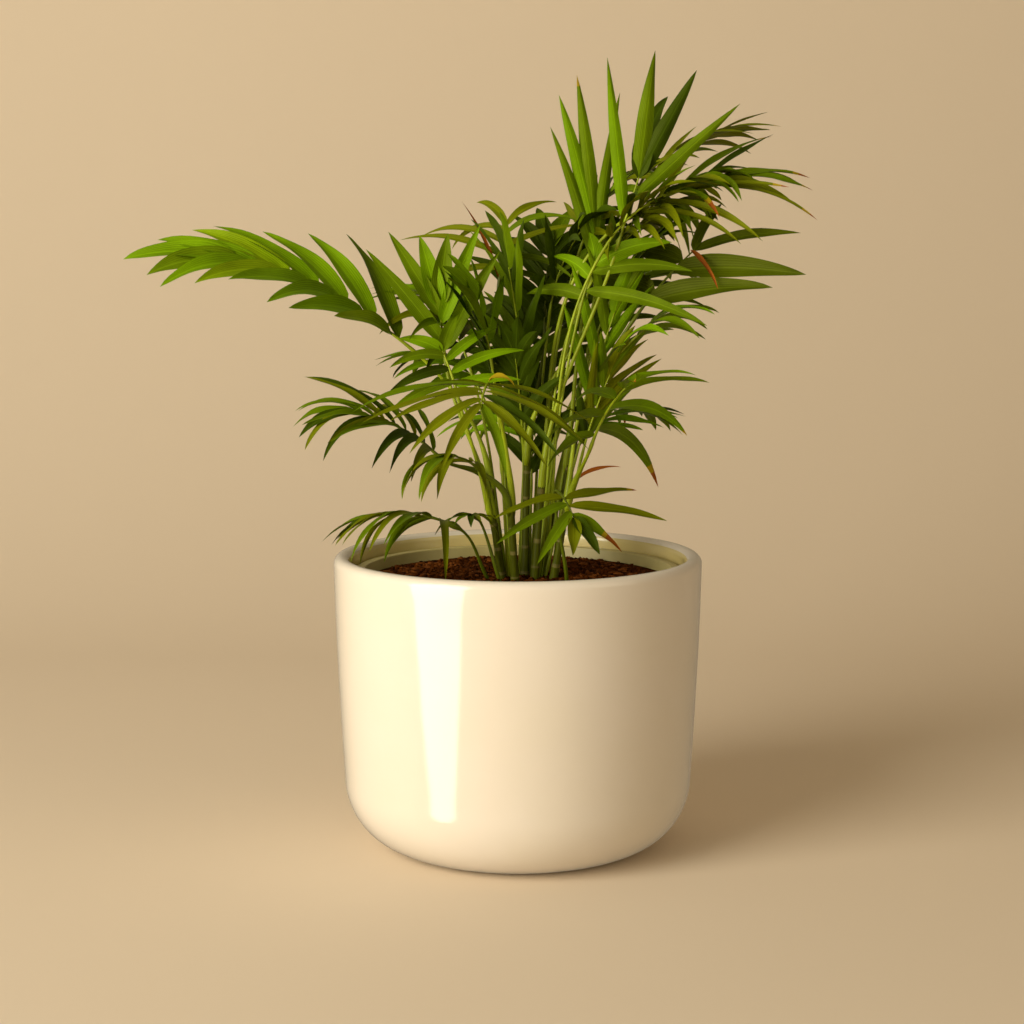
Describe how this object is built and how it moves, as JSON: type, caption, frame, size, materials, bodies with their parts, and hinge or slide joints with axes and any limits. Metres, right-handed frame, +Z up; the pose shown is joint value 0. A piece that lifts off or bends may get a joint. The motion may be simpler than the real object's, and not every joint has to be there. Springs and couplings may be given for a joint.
{
  "type": "potted parlour palm",
  "caption": "Small clump-forming parlour palm with feather fronds on slim stems, standing in a liner and soil inside a round glazed pot with a rounded foot.",
  "frame": {"origin": "centre of the pot's flat underside", "axes": "+Z up, +X to the right as the picture shows the plant, +Y away from the camera, so the pictured side faces -Y"},
  "size_m": [0.2916, 0.2131, 0.3422],
  "materials": {
    "glaze": "glossy ivory glaze",
    "liner": "satin",
    "soil": "matte, crumbly potting mix",
    "stem": "green cane with dry sheaths",
    "petiole": "smooth and waxy",
    "leaf": "satin leaf blade"
  },
  "bodies": {
    "root": {"pot": "glaze", "liner": "liner", "soil": "soil", "stem_left": "stem", "stem_left_front": "stem", "stem_front_left": "stem", "stem_left_back": "stem", "stem_back": "stem", "stem_centre": "stem", "stem_right_back": "stem", "stem_right": "stem", "stem_centre_right": "stem", "stem_right_front": "stem", "stem_front": "stem", "petiole_left_high": "petiole", "petiole_left_upright": "petiole", "petiole_left_mid": "petiole", "petiole_left_low": "petiole", "petiole_left_inner": "petiole", "petiole_left_lower": "petiole", "petiole_front_mid": "petiole", "petiole_right_low": "petiole", "petiole_right_mid": "petiole", "petiole_right_lower": "petiole", "petiole_right_wide": "petiole", "petiole_right_top": "petiole", "petiole_right_back": "petiole", "petiole_top": "petiole", "petiole_top_inner": "petiole", "petiole_top_left": "petiole", "petiole_centre_back": "petiole", "petiole_centre_low": "petiole", "petiole_inner_right": "petiole", "petiole_back_left": "petiole", "petiole_back_right": "petiole", "petiole_back_low": "petiole", "petiole_back_low_right": "petiole", "frond_left_high": "leaf", "frond_left_upright": "leaf", "frond_left_mid": "leaf", "frond_left_low": "leaf", "frond_left_inner": "leaf", "frond_left_lower": "leaf", "frond_front_mid": "leaf", "frond_right_low": "leaf", "frond_right_mid": "leaf", "frond_right_lower": "leaf", "frond_right_wide": "leaf", "frond_right_top": "leaf", "frond_right_back": "leaf", "frond_top": "leaf", "frond_top_inner": "leaf", "frond_top_left": "leaf", "frond_centre_back": "leaf", "frond_centre_low": "leaf", "frond_inner_right": "leaf", "frond_back_left": "leaf", "frond_back_right": "leaf", "frond_back_low": "leaf", "frond_back_low_right": "leaf"}
  },
  "joints": []
}
